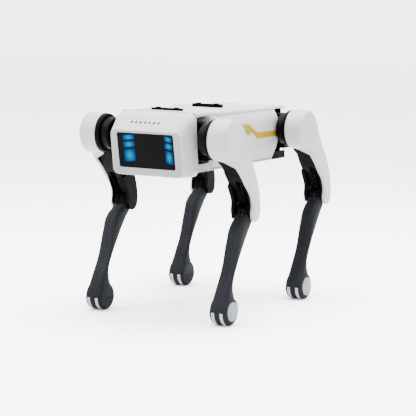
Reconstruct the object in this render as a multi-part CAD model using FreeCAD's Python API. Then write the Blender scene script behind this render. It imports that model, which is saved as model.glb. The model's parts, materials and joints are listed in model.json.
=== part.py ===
"""Quadruped robot dog: head with a display, body shell, and four legs of three powered joints each.

Frame: +Z up, -Y is the front, +X is the dog's left side.  The origin is on the floor, midway along and
across the robot.  Every length is in millimetres.  Each leg is drawn once, as the left leg with its hip
pitch axis at Y = 0, and is then moved to its corner and mirrored for the right side.
"""
import FreeCAD, Part
import math
import os

from FreeCAD import Vector

# Whole robot
FRONT_HIP_Y = -234.25
WHEELBASE = 402.0
REAR_HIP_Y = FRONT_HIP_Y + WHEELBASE
HIP_Z = 450.0
ROLL_AXIS_X = 72.0

# Knee and foot, measured from the hip pitch axis
KNEE_Y = 112.0
KNEE_Z = 268.0
FOOT_Y = 8.0
FOOT_R = 35.0
FOOT_Z = FOOT_R

# Leg planes across the robot
THIGH_INNER_X = 149.0
DRUM_INNER_X = 160.0
THIGH_OUTER_X = 209.0
COVER_PLATE_X = 200.4
INNER_PLATE_X = 158.5
OUTER_PLATE_X = 198.0
SHIN_INNER_X = 160.0
SHIN_SEAM_X = 180.0
SHIN_OUTER_X = 197.5
FOOT_INNER_X = 156.0
FOOT_OUTER_X = 204.0

# Hip drum and motors
DRUM_R = 50.0
DRUM_WALL = 3.5
PITCH_MOTOR_R = 40.0
PITCH_MOTOR_X = (128.0, 148.5)
KNEE_MOTOR_R = 42.0
KNEE_MOTOR_X = (190.5, 205.0)
ROLL_MOTOR_R = 30.0
ROLL_MOTOR_LENGTH = 40.0

# Knee linkage, a parallelogram inside the thigh
CRANK_LENGTH = 14.0
CRANK_X = (184.5, 189.5)
ROD_X = (177.5, 182.5)
SLOT_X = (176.0, 184.0)
ROD_WIDTH = 9.0
CRANK_PIN_R = 4.0
LEVER_PIN_R = 3.4
LEVER_EYE_R = 3.9

# Shafts and running fits
RUNNING_CLEARANCE = 0.05
ROLL_SHAFT_R = 10.0
PITCH_SHAFT_R = 12.0
KNEE_STUB_R = 8.0
MOTOR_SHAFT_R = 6.0

# Body shell
SHELL = 3.0
BODY_FRONT_Y = FRONT_HIP_Y + 64.0
BODY_REAR_Y = REAR_HIP_Y - 7.0
TAIL_Y = REAR_HIP_Y + 70.0
TOP_HALF_WIDTH = 106.0
BULGE_X = 122.0
BELLY_Z = 370.0
SEAM_Z = 500.0
TOP_FRONT_Z = 512.0
TOP_REAR_Z = 505.0

# Head
HEAD_HALF_WIDTH = 106.0
FACE_HALF_WIDTH = 99.0
DISPLAY_SIZE = (159.0, 87.0)
DISPLAY_DEPTH = 6.0
FACE_TILT = 10.3
FACE_CENTRE = (FRONT_HIP_Y - 65.2, 417.0)

# Payload rails
RAIL_FRONT_Y = FRONT_HIP_Y + 33.0
RAIL_REAR_Y = FRONT_HIP_Y + 230.0
RAIL_HALF_LENGTH = 42.5
RAIL_DEPTH = 13.0
RAIL_TOP_Z = 517.0
BOSS_TOP_Z = 519.0
BOSS_X = 26.0
BOSS_R = 7.0
TAPPED_HOLE_R = 2.1


# ---------------------------------------------------------------- small helpers
def box(x_range, y_range, z_range):
    """Box between two X, two Y and two Z values."""
    size = (x_range[1] - x_range[0], y_range[1] - y_range[0], z_range[1] - z_range[0])
    return Part.makeBox(*size, Vector(x_range[0], y_range[0], z_range[0]))


def rod_along_x(radius, x_range, y, z):
    """Cylinder along X."""
    return Part.makeCylinder(radius, x_range[1] - x_range[0], Vector(x_range[0], y, z), Vector(1, 0, 0))


def rod_along_y(radius, x, y_range, z):
    """Cylinder along Y."""
    return Part.makeCylinder(radius, y_range[1] - y_range[0], Vector(x, y_range[0], z), Vector(0, 1, 0))


def rod_along_z(radius, x, y, z_range):
    """Cylinder along Z."""
    return Part.makeCylinder(radius, z_range[1] - z_range[0], Vector(x, y, z_range[0]))


def curve(points, start_direction=None, end_direction=None):
    """Smooth edge through (Y, Z) points in the X = 0 plane, with an optional direction at each end."""
    spline = Part.BSplineCurve()
    through = [Vector(0, y, z) for y, z in points]
    if start_direction is None:
        start_direction = (points[1][0] - points[0][0], points[1][1] - points[0][1])
    if end_direction is None:
        end_direction = (points[-1][0] - points[-2][0], points[-1][1] - points[-2][1])
    spline.interpolate(Points=through, InitialTangent=Vector(0, *start_direction),
                       FinalTangent=Vector(0, *end_direction))
    return spline.toShape()


def line(start, end):
    """Straight edge between two (Y, Z) points in the X = 0 plane."""
    return Part.makeLine(Vector(0, *start), Vector(0, *end))


def arc(start, middle, end):
    """Circular edge through three (Y, Z) points in the X = 0 plane."""
    return Part.Arc(Vector(0, *start), Vector(0, *middle), Vector(0, *end)).toShape()


def slab(edges, x_range):
    """Extrude a closed outline of the X = 0 plane from one X value to another."""
    face = Part.Face(Part.Wire(edges))
    face.translate(Vector(x_range[0], 0, 0))
    return face.extrude(Vector(x_range[1] - x_range[0], 0, 0))


def side_polygon(points, x_range):
    """Extrude a polygon of (Y, Z) points along X."""
    wire = Part.makePolygon([Vector(0, y, z) for y, z in points + points[:1]])
    face = Part.Face(wire)
    face.translate(Vector(x_range[0], 0, 0))
    return face.extrude(Vector(x_range[1] - x_range[0], 0, 0))


def plan_polygon(points, z_range):
    """Extrude a polygon of (X, Y) points upwards."""
    wire = Part.makePolygon([Vector(x, y, z_range[0]) for x, y in points + points[:1]])
    return Part.Face(wire).extrude(Vector(0, 0, z_range[1] - z_range[0]))


def edges_where(shape, test):
    """Edges whose both ends and middle pass a test."""
    found = []
    for edge in shape.Edges:
        middle = edge.valueAt((edge.FirstParameter + edge.LastParameter) / 2)
        points = [vertex.Point for vertex in edge.Vertexes] + [middle]
        if all(test(point) for point in points):
            found.append(edge)
    return found


def rounded(shape, radius, test):
    """Fillet the edges that pass a test."""
    return shape.makeFillet(radius, edges_where(shape, test))


def mirrored(shape):
    """The same shape on the other side of the robot."""
    return shape.mirror(Vector(0, 0, 0), Vector(1, 0, 0))


def both_sides(shape):
    """A left-side shape together with its right-side twin."""
    return Part.makeCompound([shape, mirrored(shape)])


def save(name, shape):
    """Write one piece."""
    shape.exportStep("parts/" + name + ".step")


# ---------------------------------------------------------------- directions along the thigh
THIGH_LENGTH = math.hypot(KNEE_Y, HIP_Z - KNEE_Z)
THIGH_DIR = (KNEE_Y / THIGH_LENGTH, (KNEE_Z - HIP_Z) / THIGH_LENGTH)
ACROSS_DIR = (-THIGH_DIR[1], THIGH_DIR[0])


def thigh_point(along, across):
    """(Y, Z) of a point given along the hip to knee line, and across it towards the rear."""
    y = along * THIGH_DIR[0] + across * ACROSS_DIR[0]
    z = HIP_Z + along * THIGH_DIR[1] + across * ACROSS_DIR[1]
    return (y, z)


# ---------------------------------------------------------------- hip body
def hip_link(shaft_to_rear):
    """Black bracket that rolls in the body and carries the pitch motor."""
    y_range = (10.0, 58.0)
    bracket = box((62.0, PITCH_MOTOR_X[0]), y_range, (396.0, 486.0))
    bracket = rounded(bracket, 6.0, lambda p: p.z > 485.9 and p.x < 127.0 or p.z < 396.1 and p.x < 127.0)
    pocket = box((84.0, 118.0), (y_range[0] + 6.0, y_range[1] - 6.0), (402.0, 480.0))
    bracket = bracket.cut(pocket)
    shaft_y = (y_range[1], y_range[1] + 24.0) if shaft_to_rear else (-26.0, y_range[0])
    return bracket.fuse(rod_along_y(ROLL_SHAFT_R, ROLL_AXIS_X, shaft_y, HIP_Z)).removeSplitter()


def pitch_motor():
    """Flat round motor that swings the thigh."""
    motor = rod_along_x(PITCH_MOTOR_R, PITCH_MOTOR_X, 0.0, HIP_Z)
    motor = motor.makeChamfer(3.0, [edge for edge in motor.Edges if edge.Closed])
    shaft = rod_along_x(PITCH_SHAFT_R, (PITCH_MOTOR_X[1], 168.0), 0.0, HIP_Z)
    return motor.fuse(shaft)


# ---------------------------------------------------------------- thigh body
REAR_EDGE = [(71.0, 423.0), (104.0, 371.0), (126.0, 320.0), (133.5, 276.0)]
FRONT_EDGE = [(97.0, 262.0), (100.0, 284.0), (91.0, 309.0), (66.0, 336.0), (43.0, 361.0), (20.0, 381.0)]


def thigh_outline():
    """Drum, arm and knee end of the thigh, as one closed run of edges."""
    leave = math.radians(28.0)
    meet = math.radians(8.0)
    rear_start = (DRUM_R * math.cos(leave), HIP_Z + DRUM_R * math.sin(leave))
    front_end = (-DRUM_R * math.sin(meet), HIP_Z - DRUM_R * math.cos(meet))
    rear = curve([rear_start] + REAR_EDGE, start_direction=(math.sin(leave), -math.cos(leave)))
    front = curve(FRONT_EDGE + [front_end], end_direction=(-math.cos(meet), math.sin(meet)))
    drum = arc(front_end, (-DRUM_R, HIP_Z), rear_start)
    knee = arc(REAR_EDGE[-1], (117.0, 241.5), FRONT_EDGE[0])
    return [drum, rear, knee, front]


def thigh_cover():
    """White shell: a round drum over the hip motor and a tapering plate down to the knee."""
    plate = slab(thigh_outline(), (COVER_PLATE_X, THIGH_OUTER_X))
    plate = rounded(plate, 6.0, lambda p: p.x > THIGH_OUTER_X - 0.1)
    drum = rod_along_x(DRUM_R, (DRUM_INNER_X, COVER_PLATE_X), 0.0, HIP_Z)
    gate = side_polygon([(10.0, 440.0), (48.0, 455.0), (70.0, 420.0), (22.0, 380.0), (-4.0, 396.0)],
                        (DRUM_INNER_X - 1.0, COVER_PLATE_X))
    cavity = rod_along_x(DRUM_R - DRUM_WALL, (DRUM_INNER_X - 1.0, THIGH_OUTER_X - DRUM_WALL), 0.0, HIP_Z)
    return plate.fuse(drum.cut(gate)).cut(cavity).removeSplitter()


def linkage_slot(x_range, margin):
    """Space inside the thigh that the crank and the rod sweep."""
    reach = CRANK_LENGTH + 7.0 + margin
    hip_room = rod_along_x(reach, x_range, 0.0, HIP_Z)
    run = side_polygon([thigh_point(0, -3.0), thigh_point(0, 21.0), thigh_point(THIGH_LENGTH, 21.0),
                        thigh_point(THIGH_LENGTH, -3.0)], x_range)
    return hip_room.fuse(run)


def thigh_frame():
    """Black load-carrying arm: hip hub, web and the two plates that hold the knee between them."""
    hub = rod_along_x(45.0, (THIGH_INNER_X + 1.0, 189.8), 0.0, HIP_Z)
    flange = rod_along_x(DRUM_R - 1.5, (THIGH_INNER_X, DRUM_INNER_X - 0.5), 0.0, HIP_Z)
    hub = hub.fuse(rounded(flange, 3.5, lambda p: p.x < THIGH_INNER_X + 0.1))
    plate_edges = [
        curve([thigh_point(20, 40.0), (66.0, 421.0), (101.0, 369.0), (125.0, 322.0), (134.0, 283.0), (133.0, 266.0)]),
        arc((133.0, 266.0), (117.0, 246.0), (97.0, 250.0)),
        curve([(97.0, 250.0), (91.5, 268.0), (92.5, 292.0), (85.0, 308.0), (72.0, 331.0)]),
        line((72.0, 331.0), (78.5, 337.5)),
        curve([(78.5, 337.5), (59.0, 360.0), (44.0, 380.0), (31.0, 388.0), (14.0, 408.0)]),
        line((14.0, 408.0), thigh_point(20, 40.0)),
    ]
    inner_plate = slab(plate_edges, (THIGH_INNER_X, INNER_PLATE_X))
    outer_plate = slab(plate_edges, (OUTER_PLATE_X, COVER_PLATE_X))
    outer_plate = outer_plate.cut(box((190.0, 210.0), (60.0, 150.0), (230.0, 256.0)))
    web_edges = [
        curve([thigh_point(16, 38.0), (64.0, 421.0), (99.0, 369.0), (122.0, 320.0), (128.0, 284.0)]),
        line((128.0, 284.0), (107.0, 284.0)),
        curve([(107.0, 284.0), (95.0, 311.0), (68.0, 338.0), (45.0, 363.0), (16.0, 402.0)]),
        line((16.0, 402.0), thigh_point(16, 38.0)),
    ]
    web = slab(web_edges, (INNER_PLATE_X - 0.5, COVER_PLATE_X))
    web = web.cut(rod_along_x(22.5, (INNER_PLATE_X, OUTER_PLATE_X), KNEE_Y, KNEE_Z))
    frame = hub.fuse(inner_plate).fuse(web).fuse(outer_plate)
    frame = frame.cut(linkage_slot((SLOT_X[0], CRANK_X[1] + 1.0), 2.0))
    frame = frame.cut(rod_along_x(KNEE_MOTOR_R + 0.5, (189.8, THIGH_OUTER_X), 0.0, HIP_Z))
    frame = frame.cut(rod_along_x(PITCH_SHAFT_R + RUNNING_CLEARANCE, (THIGH_INNER_X - 1.0, 169.0), 0.0, HIP_Z))
    inner_stub = rod_along_x(KNEE_STUB_R, (INNER_PLATE_X - 1.0, 174.5), KNEE_Y, KNEE_Z)
    outer_stub = rod_along_x(KNEE_STUB_R, (185.5, OUTER_PLATE_X + 1.0), KNEE_Y, KNEE_Z)
    return frame.fuse(inner_stub).fuse(outer_stub).removeSplitter()


def knee_motor():
    """Motor in the drum that turns the knee crank."""
    body = rod_along_x(KNEE_MOTOR_R, KNEE_MOTOR_X, 0.0, HIP_Z)
    shaft = rod_along_x(MOTOR_SHAFT_R, (183.5, KNEE_MOTOR_X[0]), 0.0, HIP_Z)
    return body.fuse(shaft)


def knee_crank():
    """Short arm on the knee motor's shaft."""
    pin_y, pin_z = thigh_point(0, CRANK_LENGTH)
    hub = rod_along_x(11.0, CRANK_X, 0.0, HIP_Z)
    tip = rod_along_x(7.0, CRANK_X, pin_y, pin_z)
    web = side_polygon([thigh_point(-9, 0), thigh_point(-6, CRANK_LENGTH), thigh_point(6, CRANK_LENGTH),
                        thigh_point(9, 0)], CRANK_X)
    pin = rod_along_x(CRANK_PIN_R, (SLOT_X[0] + 0.7, CRANK_X[0]), pin_y, pin_z)
    bore = rod_along_x(MOTOR_SHAFT_R + RUNNING_CLEARANCE, (180.0, 195.0), 0.0, HIP_Z)
    return hub.fuse(tip).fuse(web).cut(bore).fuse(pin).removeSplitter()


def knee_rod():
    """Push rod from the crank pin to the lever pin at the top of the shin."""
    top_y, top_z = thigh_point(0, CRANK_LENGTH)
    low_y, low_z = thigh_point(THIGH_LENGTH, CRANK_LENGTH)
    half = ROD_WIDTH / 2
    bar = side_polygon([thigh_point(0, CRANK_LENGTH - half), thigh_point(0, CRANK_LENGTH + half),
                        thigh_point(THIGH_LENGTH, CRANK_LENGTH + half),
                        thigh_point(THIGH_LENGTH, CRANK_LENGTH - half)], ROD_X)
    rod = bar.fuse(rod_along_x(7.0, ROD_X, top_y, top_z)).fuse(rod_along_x(6.0, ROD_X, low_y, low_z))
    rod = rod.cut(rod_along_x(CRANK_PIN_R + RUNNING_CLEARANCE, (170.0, 190.0), top_y, top_z))
    return rod.cut(rod_along_x(LEVER_EYE_R, (170.0, 190.0), low_y, low_z)).removeSplitter()


# ---------------------------------------------------------------- shin body
def shin_outline(inset):
    """Side outline of the shin from the knee round to the top of the foot, pulled in by an inset."""
    knee_r = 21.0 - inset
    foot_r = FOOT_R - inset
    front = [(KNEE_Y - knee_r, KNEE_Z), (78.0 + inset, 250.0), (53.0 + inset, 227.0), (44.5 + inset, 204.0),
             (31.0 + inset, 152.0), (3.0 + inset, 98.0), (FOOT_Y - foot_r + 3.0, 56.0), (FOOT_Y - foot_r, FOOT_Z)]
    rear = [(FOOT_Y + foot_r, FOOT_Z), (FOOT_Y + foot_r - 5.0, 57.0), (24.0 - inset, 88.0), (32.0 - inset, 124.0),
            (66.0 - inset, 178.0), (101.0 - inset, 223.0), (KNEE_Y + 0.85 * knee_r, KNEE_Z - 0.53 * knee_r)]
    top = arc(rear[-1], (KNEE_Y, KNEE_Z + knee_r), front[0])
    return [curve(front), line(front[-1], rear[0]), curve(rear), top]


def half_shin(x_range, outer_side):
    """One half shell of the shin."""
    shell = slab(shin_outline(0.0), x_range)
    edge_x = x_range[1] if outer_side else x_range[0]
    shell = rounded(shell, 4.0, lambda p: abs(p.x - edge_x) < 0.1)
    hollow_x = (x_range[0] - 1.0, x_range[1] - SHELL) if outer_side else (x_range[0] + SHELL, x_range[1] + 1.0)
    hollow = slab(shin_outline(SHELL), hollow_x)
    hollow = hollow.cut(box((100, 260), (-100, 200), (240.0, 330.0)))
    hollow = hollow.cut(box((100, 260), (-100, 200), (0.0, FOOT_Z + SHELL)))
    shell = shell.cut(hollow)
    lever_y, lever_z = thigh_point(THIGH_LENGTH, CRANK_LENGTH)
    shell = shell.cut(rod_along_x(27.0, SLOT_X, KNEE_Y, KNEE_Z))
    if outer_side:
        pin_x = (ROD_X[0] - 0.7, SLOT_X[1] + 1.0)
        shell = shell.fuse(rod_along_x(LEVER_PIN_R, (SHIN_SEAM_X, pin_x[1]), lever_y, lever_z))
        bore_x = (184.0, 210.0)
    else:
        shell = shell.fuse(rod_along_x(LEVER_PIN_R, (SLOT_X[0] - 1.0, SHIN_SEAM_X), lever_y, lever_z))
        bore_x = (150.0, 176.0)
    bore = rod_along_x(KNEE_STUB_R + RUNNING_CLEARANCE, bore_x, KNEE_Y, KNEE_Z)
    return shell.cut(bore).removeSplitter()


def foot_pad():
    """Rubber lower half of the round foot."""
    pad = rod_along_x(FOOT_R, (FOOT_INNER_X, FOOT_OUTER_X), FOOT_Y, FOOT_Z)
    pad = rounded(pad, 8.0, lambda p: abs(p.x - FOOT_INNER_X) < 0.1 or abs(p.x - FOOT_OUTER_X) < 0.1)
    upper = box((SHIN_INNER_X - 0.01, SHIN_OUTER_X + 0.01), (-60, 80), (FOOT_Z, 90.0))
    pad = pad.cut(upper)
    for x_range in STRIP_X:
        pad = pad.cut(strip_ring(x_range, FOOT_R + 1.0))
    return pad


STRIP_X = ((165.0, 174.0), (186.0, 195.0))


def strip_ring(x_range, outer_r):
    """Curved band round the front and bottom of the foot."""
    ring = rod_along_x(outer_r, x_range, FOOT_Y, FOOT_Z)
    ring = ring.cut(rod_along_x(FOOT_R - 2.0, (x_range[0] - 1, x_range[1] + 1), FOOT_Y, FOOT_Z))
    ring = ring.cut(box((100, 260), (-60, 80), (FOOT_Z - 1.0, 100.0)))
    return ring.cut(box((100, 260), (FOOT_Y + 18.0, 80), (-10, 100.0)))


def foot_trim():
    """Two pale strips let into the pad, and the round cap on the outer face."""
    strips = [strip_ring(x_range, FOOT_R - 0.2) for x_range in STRIP_X]
    cap = rod_along_x(24.0, (FOOT_OUTER_X, FOOT_OUTER_X + 1.6), FOOT_Y, FOOT_Z)
    cap = rounded(cap, 1.0, lambda p: p.x > FOOT_OUTER_X + 1.5)
    return Part.makeCompound(strips + [cap])


# ---------------------------------------------------------------- body shell
def body_section(inset, y_range):
    """Half of the body's cross section, between the seams at the belly and at the top cover."""
    low = BELLY_Z + inset
    high = SEAM_Z
    bulge = BULGE_X - inset
    edge = TOP_HALF_WIDTH - inset
    spline = Part.BSplineCurve()
    spline.interpolate([Vector(edge - 2.0, 0, low), Vector(bulge - 5.0, 0, 408.0), Vector(bulge, 0, 448.0),
                        Vector(bulge - 4.0, 0, 478.0), Vector(edge, 0, high)])
    side = spline.toShape()
    corners = [Vector(edge, 0, high), Vector(44.0, 0, high), Vector(44.0, 0, low), Vector(edge - 2.0, 0, low)]
    straight = Part.makePolygon(corners).Edges
    face = Part.Face(Part.Wire([side] + straight))
    face.translate(Vector(0, y_range[0], 0))
    return face.extrude(Vector(0, y_range[1] - y_range[0], 0))


def corner_wedge(grow):
    """Cut that slants the side panel's front corner."""
    outside = BULGE_X + 5.0
    return plan_polygon([(104.0, BODY_FRONT_Y - 1.0), (outside, BODY_FRONT_Y - 1.0),
                         (outside, BODY_FRONT_Y + 36.0 + grow), (104.0, BODY_FRONT_Y + grow)], (300.0, 600.0))


def side_panel():
    """White side shell of the body, open towards the middle."""
    outer = body_section(0.0, (BODY_FRONT_Y, BODY_REAR_Y)).cut(corner_wedge(0.0))
    inner = body_section(SHELL, (BODY_FRONT_Y + SHELL, BODY_REAR_Y - SHELL)).cut(corner_wedge(SHELL))
    opening = box((40.0, 60.0), (BODY_FRONT_Y + SHELL, BODY_REAR_Y - SHELL), (BELLY_Z + SHELL, SEAM_Z + 1.0))
    panel = outer.cut(inner).cut(opening)
    for y in (BODY_FRONT_Y, BODY_REAR_Y - SHELL):
        panel = panel.cut(rod_along_y(14.0, ROLL_AXIS_X, (y - 1, y + SHELL + 1), HIP_Z))
    return panel


def stripe_prism():
    """Side view of the stripe: a badge, a falling link and a long band."""
    badge_y = FRONT_HIP_Y + 200.0
    badge = side_polygon([(badge_y, 472.0), (badge_y + 39.0, 470.0), (badge_y + 37.0, 443.0),
                          (badge_y + 16.0, 444.5)], (0.0, 200.0))
    link = side_polygon([(badge_y + 38.5, 466.0), (badge_y + 73.0, 447.0), (badge_y + 75.0, 431.0),
                         (badge_y + 37.5, 453.0)], (0.0, 200.0))
    band = side_polygon([(badge_y + 73.0, 447.0), (BODY_REAR_Y - 3.0, 446.0), (BODY_REAR_Y - 3.0, 430.5),
                         (badge_y + 75.0, 431.0)], (0.0, 200.0))
    return badge.fuse(link).fuse(band)


def side_stripes():
    """Thin coloured inlays that stand just proud of the side panels."""
    proud = body_section(-0.6, (BODY_FRONT_Y, BODY_REAR_Y))
    under = body_section(0.0, (BODY_FRONT_Y - 1, BODY_REAR_Y + 1))
    return both_sides(proud.cut(under).common(stripe_prism()))


def body_top_cover():
    """White deck over the whole body, narrower over the hips."""
    front_y = FRONT_HIP_Y + 9.0
    deck = side_polygon([(front_y, SEAM_Z), (front_y, TOP_FRONT_Z), (TAIL_Y, TOP_REAR_Z), (TAIL_Y, SEAM_Z)],
                        (-TOP_HALF_WIDTH, TOP_HALF_WIDTH))
    deck = rounded(deck, 4.0, lambda p: abs(p.x) > TOP_HALF_WIDTH - 0.1 and p.z > SEAM_Z + 3.0)
    hollow = side_polygon([(front_y + SHELL, SEAM_Z - 1), (front_y + SHELL, TOP_FRONT_Z - SHELL),
                           (TAIL_Y - SHELL, TOP_REAR_Z - SHELL), (TAIL_Y - SHELL, SEAM_Z - 1)],
                          (-TOP_HALF_WIDTH + SHELL, TOP_HALF_WIDTH - SHELL))
    deck = deck.cut(hollow)
    scoop_front = rod_along_z(90.0, TOP_HALF_WIDTH + 76.0, FRONT_HIP_Y + 45.0, (480.0, 530.0))
    scoop_rear = rod_along_z(90.0, TOP_HALF_WIDTH + 76.0, REAR_HIP_Y + 40.0, (480.0, 530.0))
    scoops = both_sides(scoop_front.fuse(scoop_rear))
    return deck.cut(scoops)


def belly_tray():
    """White floor of the body, with side walls under the front hips."""
    tray = box((-104.0, 104.0), (FRONT_HIP_Y + 9.0, BODY_REAR_Y), (BELLY_Z - 4.0, BELLY_Z))
    wall = box((100.0, 104.0), (FRONT_HIP_Y + 9.0, BODY_FRONT_Y - 0.5), (BELLY_Z - 4.0, BELLY_Z + 16.0))
    tray = tray.fuse(both_sides(wall)).removeSplitter()
    return rounded(tray, 3.0, lambda p: abs(p.x) > 103.9 and p.z < BELLY_Z - 3.9)


def chassis_frame():
    """Black inner frame: floor plate, four bulkheads, two keels and the open tub under the rear hips."""
    keel_front = FRONT_HIP_Y + 9.0
    floor = box((-42.0, 42.0), (keel_front, TAIL_Y - 6.0), (BELLY_Z, BELLY_Z + 5.0))
    pieces = []
    for y in (BODY_FRONT_Y + SHELL, BODY_REAR_Y - SHELL - 5.0):
        plate = box((-100.0, 100.0), (y, y + 5.0), (BELLY_Z + SHELL, SEAM_Z - 2.0))
        for x in (-ROLL_AXIS_X, ROLL_AXIS_X):
            plate = plate.cut(rod_along_y(14.0, x, (y - 1, y + 6), HIP_Z))
        pieces.append(plate)
    for y in (keel_front, TAIL_Y - 12.0):
        pieces.append(box((-42.0, 42.0), (y, y + 6.0), (BELLY_Z, SEAM_Z - 2.0)))
    for x in (-42.0, 37.0):
        pieces.append(box((x, x + 5.0), (keel_front, TAIL_Y - 6.0), (BELLY_Z, BELLY_Z + 20.0)))
    tub_y = (BODY_REAR_Y + 0.5, TAIL_Y - 6.5)
    pieces.append(box((-104.0, 104.0), tub_y, (BELLY_Z - 4.0, BELLY_Z)))
    for x in (-104.0, 100.0):
        pieces.append(box((x, x + 4.0), tub_y, (BELLY_Z - 4.0, BELLY_Z + 16.0)))
    frame = floor
    for piece in pieces:
        frame = frame.fuse(piece)
    return frame.removeSplitter()


def roll_motor_ranges():
    """Y ranges of the front and rear roll motors."""
    front = BODY_FRONT_Y + SHELL + 5.0
    rear = BODY_REAR_Y - SHELL - 5.0
    return (front, front + ROLL_MOTOR_LENGTH), (rear - ROLL_MOTOR_LENGTH, rear)


def roll_motors():
    """Four motors that swing the legs sideways."""
    motors = []
    for index, y_range in enumerate(roll_motor_ranges()):
        motor = rod_along_y(ROLL_MOTOR_R, ROLL_AXIS_X, y_range, HIP_Z)
        bore_y = (y_range[0] - 1, y_range[0] + 12.0) if index == 0 else (y_range[1] - 12.0, y_range[1] + 1)
        bore = rod_along_y(ROLL_SHAFT_R + RUNNING_CLEARANCE, ROLL_AXIS_X, bore_y, HIP_Z)
        motors.append(motor.cut(bore))
    return both_sides(Part.makeCompound(motors))


def battery_pack():
    """Rounded battery on the chassis floor."""
    pack = box((-36.0, 36.0), (BODY_FRONT_Y + 70.0, BODY_REAR_Y - 70.0), (BELLY_Z + 5.0, BELLY_Z + 62.0))
    return rounded(pack, 5.0, lambda p: p.z > BELLY_Z + 61.0)


def control_board():
    """Main circuit board on four standoffs that stand on the battery."""
    y_range = (BODY_FRONT_Y + 80.0, BODY_REAR_Y - 80.0)
    board = box((-34.0, 34.0), y_range, (BELLY_Z + 72.0, BELLY_Z + 74.0))
    for x in (-28.0, 28.0):
        for y in (y_range[0] + 6.0, y_range[1] - 6.0):
            board = board.fuse(rod_along_z(3.0, x, y, (BELLY_Z + 62.0, BELLY_Z + 73.0)))
    chip = box((-14.0, 14.0), (-35.0, -5.0), (BELLY_Z + 74.0, BELLY_Z + 77.0))
    return board.fuse(chip).removeSplitter()


def rear_cover():
    """Black end plate behind the rear hips."""
    plate = box((-88.0, 88.0), (TAIL_Y - 6.0, TAIL_Y - 0.2), (BELLY_Z + 4.0, SEAM_Z))
    return rounded(plate, 8.0, lambda p: abs(p.x) > 87.9 and (p.z < BELLY_Z + 4.1 or p.z > SEAM_Z - 0.1))


def deck_height(y):
    """Height of the deck's upper face."""
    front_y = FRONT_HIP_Y + 9.0
    return TOP_FRONT_Z + (TOP_REAR_Z - TOP_FRONT_Z) * (y - front_y) / (TAIL_Y - front_y)


def under_deck():
    """Everything below the deck's upper face."""
    front_y = FRONT_HIP_Y - 20.0
    return side_polygon([(front_y, 480.0), (front_y, deck_height(front_y)), (TAIL_Y, TOP_REAR_Z), (TAIL_Y, 480.0)],
                        (-TOP_HALF_WIDTH, TOP_HALF_WIDTH))


def top_plugs():
    """Round fastener plugs that stand just proud of the deck."""
    plugs = []
    for y_offset in (18.0, 64.0, 449.0):
        y = FRONT_HIP_Y + y_offset
        plugs.append(rod_along_z(4.5, 70.0, y, (500.0, deck_height(y) + 0.8)).cut(under_deck()))
    return both_sides(Part.makeCompound(plugs))


def payload_rail(y):
    """Dark bar across the deck with two raised, tapped bosses."""
    y_range = (y - RAIL_DEPTH / 2, y + RAIL_DEPTH / 2)
    base_z = 500.0
    rail = box((-RAIL_HALF_LENGTH, RAIL_HALF_LENGTH), y_range, (base_z, RAIL_TOP_Z))
    for x in (-BOSS_X, BOSS_X):
        rail = rail.fuse(rod_along_z(BOSS_R, x, y, (base_z, BOSS_TOP_Z)))
    rail = rail.cut(under_deck())
    for x in (-BOSS_X, BOSS_X):
        rail = rail.cut(rod_along_z(TAPPED_HOLE_R, x, y, (base_z, BOSS_TOP_Z + 1.0)))
    return rail.removeSplitter()


# ---------------------------------------------------------------- head
def face_frame(shape):
    """Place a shape drawn in front of an upright face onto the tilted face."""
    shape.rotate(Vector(0, 0, 0), Vector(1, 0, 0), FACE_TILT)
    shape.translate(Vector(0, FACE_CENTRE[0], FACE_CENTRE[1]))
    return shape


def face_box(x_range, depth_range, height_range):
    """Box given by its place on the face: across, depth behind the face, and height on the face."""
    return face_frame(box(x_range, depth_range, height_range))


def head_outline():
    """(Y, Z) corners of the head's side view."""
    y = FRONT_HIP_Y
    return [(y - 72.6, 466.0), (y - 36.0, 503.0), (y + 8.0, 512.0), (y + 8.0, 500.0), (y - 5.0, 486.0),
            (y + 6.0, 388.0), (y + 8.0, 366.0), (y - 20.0, 355.5), (y - 52.8, 355.5)]


def head_shell():
    """White head: sloping brow, tilted face, slanted corners."""
    head = side_polygon(head_outline(), (-HEAD_HALF_WIDTH, HEAD_HALF_WIDTH))
    wedge = plan_polygon([(FACE_HALF_WIDTH, FRONT_HIP_Y - 90), (HEAD_HALF_WIDTH + 20, FRONT_HIP_Y - 90),
                          (HEAD_HALF_WIDTH + 20, FRONT_HIP_Y + 10), (HEAD_HALF_WIDTH, FRONT_HIP_Y - 26)], (300, 600))
    head = head.cut(both_sides(wedge))
    head = rounded(head, 6.0, lambda p: p.y < FRONT_HIP_Y - 30.0)
    inner = side_polygon([(FRONT_HIP_Y - 62.0, 463.0), (FRONT_HIP_Y - 32.0, 497.0), (FRONT_HIP_Y - 9.0, 500.0),
                          (FRONT_HIP_Y - 9.0, 480.0), (FRONT_HIP_Y - 1.0, 392.0), (FRONT_HIP_Y + 0.0, 368.0),
                          (FRONT_HIP_Y - 20.0, 360.0), (FRONT_HIP_Y - 44.0, 360.0)], (-90.0, 90.0))
    head = head.cut(inner)
    half_w = DISPLAY_SIZE[0] / 2 + 0.2
    half_h = DISPLAY_SIZE[1] / 2 + 0.2
    return head.cut(face_box((-half_w, half_w), (-8.0, 14.0), (-half_h, half_h)))


def display_panel():
    """Dark glass panel set into the face."""
    half_w = DISPLAY_SIZE[0] / 2
    half_h = DISPLAY_SIZE[1] / 2
    panel = box((-half_w, half_w), (1.2, 1.2 + DISPLAY_DEPTH), (-half_h, half_h))
    panel = rounded(panel, 4.0, lambda p: abs(p.x) > half_w - 0.1 and abs(p.z) > half_h - 0.1)
    return face_frame(panel)


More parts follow.
